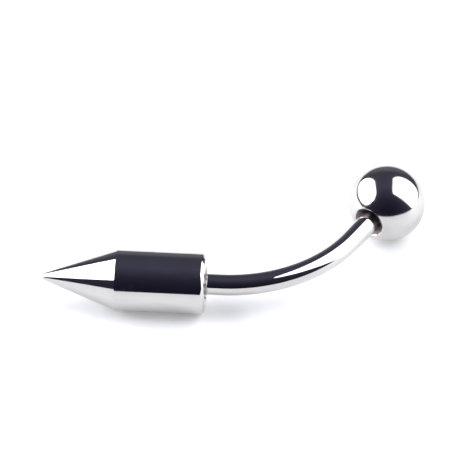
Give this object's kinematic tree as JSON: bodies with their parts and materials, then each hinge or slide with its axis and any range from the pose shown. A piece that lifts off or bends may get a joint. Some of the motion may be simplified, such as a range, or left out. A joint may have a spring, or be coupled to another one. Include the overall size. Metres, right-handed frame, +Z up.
{
  "type": "curved eyebrow barbell with a screw-on ball and a screw-on bullet spike",
  "caption": "Body jewellery: a short bent bar with a round ball screwed on one end and a bullet-shaped spike on the other, worn through a piercing in the brow. Lies on its side.",
  "frame": {"origin": "on the surface that the barbell lies on, under the middle of its outline seen from above", "axes": "+Z up; the spike's axis lies along X with its tip towards -X; the bar bends towards +Y to the ball"},
  "size_m": [0.0192, 0.0106, 0.004],
  "materials": {
    "bar_steel": "drawn wire, polished bright, with threads cut on both ends",
    "ball_steel": "mirror polished",
    "spike_steel": "turned and polished bright, with fine turning lines"
  },
  "bodies": {
    "bar": {"curved_bar": "bar_steel"},
    "ball": {"ball_end": "ball_steel"},
    "spike": {"spike_end": "spike_steel"}
  },
  "joints": [
    {"name": "ball_unscrews", "type": "slide", "parent": "bar", "child": "ball", "axis": [0.4695, 0.8815, 0.0507], "range_m": [0, 0.0026]},
    {"name": "spike_unscrews", "type": "slide", "parent": "bar", "child": "spike", "axis": [-1, 0, 0], "range_m": [0, 0.0033]}
  ]
}
